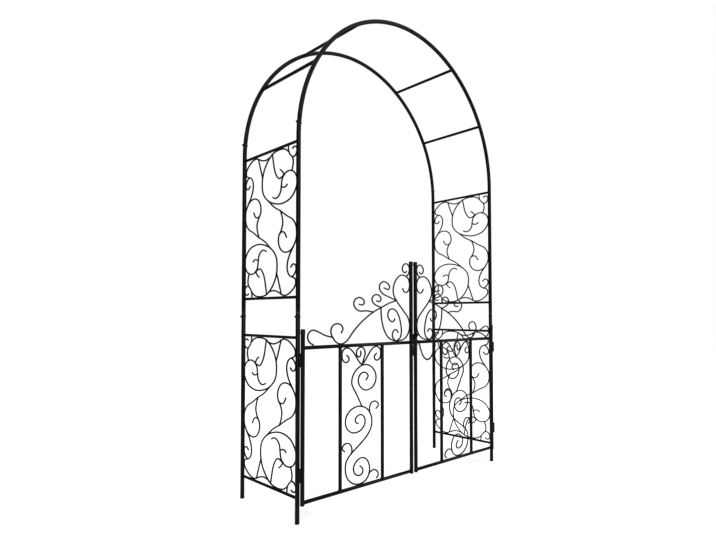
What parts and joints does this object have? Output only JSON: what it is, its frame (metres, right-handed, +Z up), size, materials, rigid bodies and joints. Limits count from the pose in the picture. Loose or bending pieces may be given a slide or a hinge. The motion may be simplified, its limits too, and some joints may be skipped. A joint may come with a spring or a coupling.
{
  "type": "garden arch with gate",
  "caption": "Round-topped tubular steel garden arch with wire scroll side panels, roof rungs and a pair of low scrolled gate leaves held by a drop latch.",
  "frame": {"origin": "on the ground, under the middle of the whole arch with its gate shut", "axes": "+X across the path to the right as seen from the gate side, +Y through the arch away from the gate, +Z up"},
  "size_m": [1.2282, 0.413, 1.978],
  "materials": {
    "painted_steel": "black powder coat, low sheen",
    "cap_plastic": "matt black",
    "plated_steel": "dark plated, slightly worn"
  },
  "bodies": {
    "frame": {"lower_post_front_left": "painted_steel", "upper_post_front_left": "painted_steel", "hoop_front_left": "painted_steel", "lower_post_front_right": "painted_steel", "upper_post_front_right": "painted_steel", "hoop_front_right": "painted_steel", "lower_post_back_left": "painted_steel", "upper_post_back_left": "painted_steel", "hoop_back_left": "painted_steel", "lower_post_back_right": "painted_steel", "upper_post_back_right": "painted_steel", "hoop_back_right": "painted_steel", "roof_rung_left_30": "painted_steel", "roof_rung_left_60": "painted_steel", "lower_panel_bottom_rail_left": "painted_steel", "lower_panel_top_rail_left": "painted_steel", "lower_panel_scroll_left": "painted_steel", "upper_panel_bottom_rail_left": "painted_steel", "upper_panel_top_rail_left": "painted_steel", "upper_panel_scroll_left": "painted_steel", "left_upper_hinge_pin": "painted_steel", "left_lower_hinge_pin": "painted_steel", "roof_rung_right_30": "painted_steel", "roof_rung_right_60": "painted_steel", "lower_panel_bottom_rail_right": "painted_steel", "lower_panel_top_rail_right": "painted_steel", "lower_panel_scroll_right": "painted_steel", "upper_panel_bottom_rail_right": "painted_steel", "upper_panel_top_rail_right": "painted_steel", "upper_panel_scroll_right": "painted_steel", "right_upper_hinge_pin": "painted_steel", "right_lower_hinge_pin": "painted_steel"},
    "left_leaf": {"left_hinge_stile": "painted_steel", "left_meeting_stile": "painted_steel", "left_gate_top_rail": "painted_steel", "left_gate_bottom_rail": "painted_steel", "left_gate_outer_bar": "painted_steel", "left_gate_inner_bar": "painted_steel", "left_gate_crest_scroll": "painted_steel", "left_gate_panel_scroll": "painted_steel", "left_hinge_stile_cap": "cap_plastic", "left_meeting_stile_cap": "cap_plastic", "left_upper_hinge_sleeve": "painted_steel", "left_lower_hinge_sleeve": "painted_steel", "left_latch_eye": "painted_steel"},
    "right_leaf": {"right_hinge_stile": "painted_steel", "right_meeting_stile": "painted_steel", "right_gate_top_rail": "painted_steel", "right_gate_bottom_rail": "painted_steel", "right_gate_outer_bar": "painted_steel", "right_gate_inner_bar": "painted_steel", "right_gate_crest_scroll": "painted_steel", "right_gate_panel_scroll": "painted_steel", "right_hinge_stile_cap": "cap_plastic", "right_meeting_stile_cap": "cap_plastic", "right_upper_hinge_sleeve": "painted_steel", "right_lower_hinge_sleeve": "painted_steel", "right_latch_eye": "painted_steel", "latch_chain": "plated_steel"},
    "latch_pin": {"latch_pin": "plated_steel"}
  },
  "joints": [
    {"name": "left_leaf_hinge", "type": "hinge", "parent": "frame", "child": "left_leaf", "pos_m": [-0.59973, -0.1808, 0], "axis": [0, 0, 1], "range_deg": [-110, 0]},
    {"name": "right_leaf_hinge", "type": "hinge", "parent": "frame", "child": "right_leaf", "pos_m": [0.59973, -0.1808, 0], "axis": [0, 0, 1], "range_deg": [0, 110]},
    {"name": "latch_pin_slide", "type": "slide", "parent": "right_leaf", "child": "latch_pin", "axis": [0, 0, -1], "range_m": [0, 0.014]}
  ]
}
